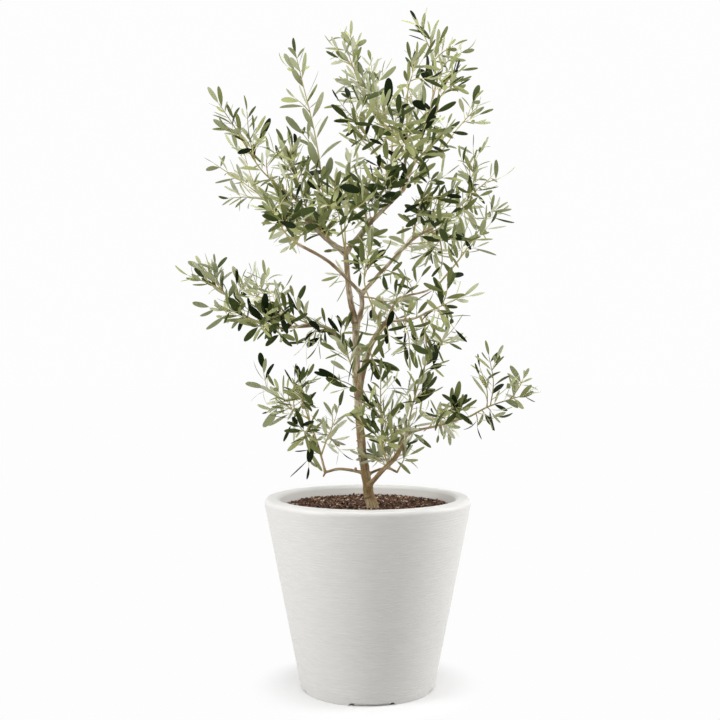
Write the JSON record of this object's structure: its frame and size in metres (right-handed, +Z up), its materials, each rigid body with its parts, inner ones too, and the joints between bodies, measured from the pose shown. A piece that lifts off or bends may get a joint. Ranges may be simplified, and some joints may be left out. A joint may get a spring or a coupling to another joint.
{
  "type": "potted olive tree",
  "caption": "Young olive tree with a slender leaning trunk and open sprays of narrow grey-green leaves, growing in a tapered round planter that stands on its flat base.",
  "frame": {"origin": "centre of the planter's flat underside, at floor level", "axes": "+Z up along the planter's axis, -Y towards the viewing side, +X to the viewer's right"},
  "size_m": [0.9739, 0.7408, 1.7164],
  "materials": {
    "planter": "off-white moulded plastic with fine combed horizontal ribs and a smooth rim",
    "soil": "dark brown bark mulch over potting mix",
    "bark": "grey-tan olive bark with fine lengthwise streaks and ring scars",
    "leaves": "narrow leathery leaves, grey-green above and silvery below"
  },
  "bodies": {
    "root": {"pot": "planter", "soil": "soil", "trunk": "bark", "left_stem": "bark", "right_stem": "bark", "upper_left_bough": "bark", "upper_right_bough": "bark", "top_back_bough": "bark", "top_front_bough": "bark", "top_right_bough": "bark", "crossing_bough": "bark", "right_bough": "bark", "front_right_limb": "bark", "right_low_bough": "bark", "right_rising_bough": "bark", "left_low_bough": "bark", "lowest_left_bough": "bark", "lowest_left_riser": "bark", "lowest_right_bough": "bark", "lowest_right_arm": "bark", "short_right_bough": "bark", "upper_middle_spray": "leaves", "middle_left_spray": "leaves", "top_front_spray": "leaves", "top_spray": "leaves", "right_top_spray": "leaves", "right_dark_spray": "leaves", "upper_left_long_spray": "leaves", "left_shoulder_spray": "leaves", "tall_left_spray": "leaves", "middle_back_spray": "leaves", "middle_front_spray": "leaves", "left_front_spray": "leaves", "right_long_spray": "leaves", "right_inner_spray": "leaves", "right_back_spray": "leaves", "right_low_spray": "leaves", "inner_front_spray": "leaves", "right_rising_spray": "leaves", "left_low_spray": "leaves", "left_upper_back_spray": "leaves", "left_inner_spray": "leaves", "left_hanging_spray": "leaves", "lowest_left_spray": "leaves", "lowest_left_upper_spray": "leaves", "lowest_left_front_spray": "leaves", "lowest_left_back_spray": "leaves", "right_center_spray": "leaves", "lowest_right_spray": "leaves", "arm_front_spray": "leaves", "arm_back_spray": "leaves", "low_front_spray": "leaves", "low_right_spray": "leaves", "yellow_shoot_spray": "leaves", "upper_left_inner_spray": "leaves", "upper_center_front_spray": "leaves", "upper_center_back_spray": "leaves", "right_middle_spray": "leaves", "center_low_spray": "leaves"}
  },
  "joints": []
}
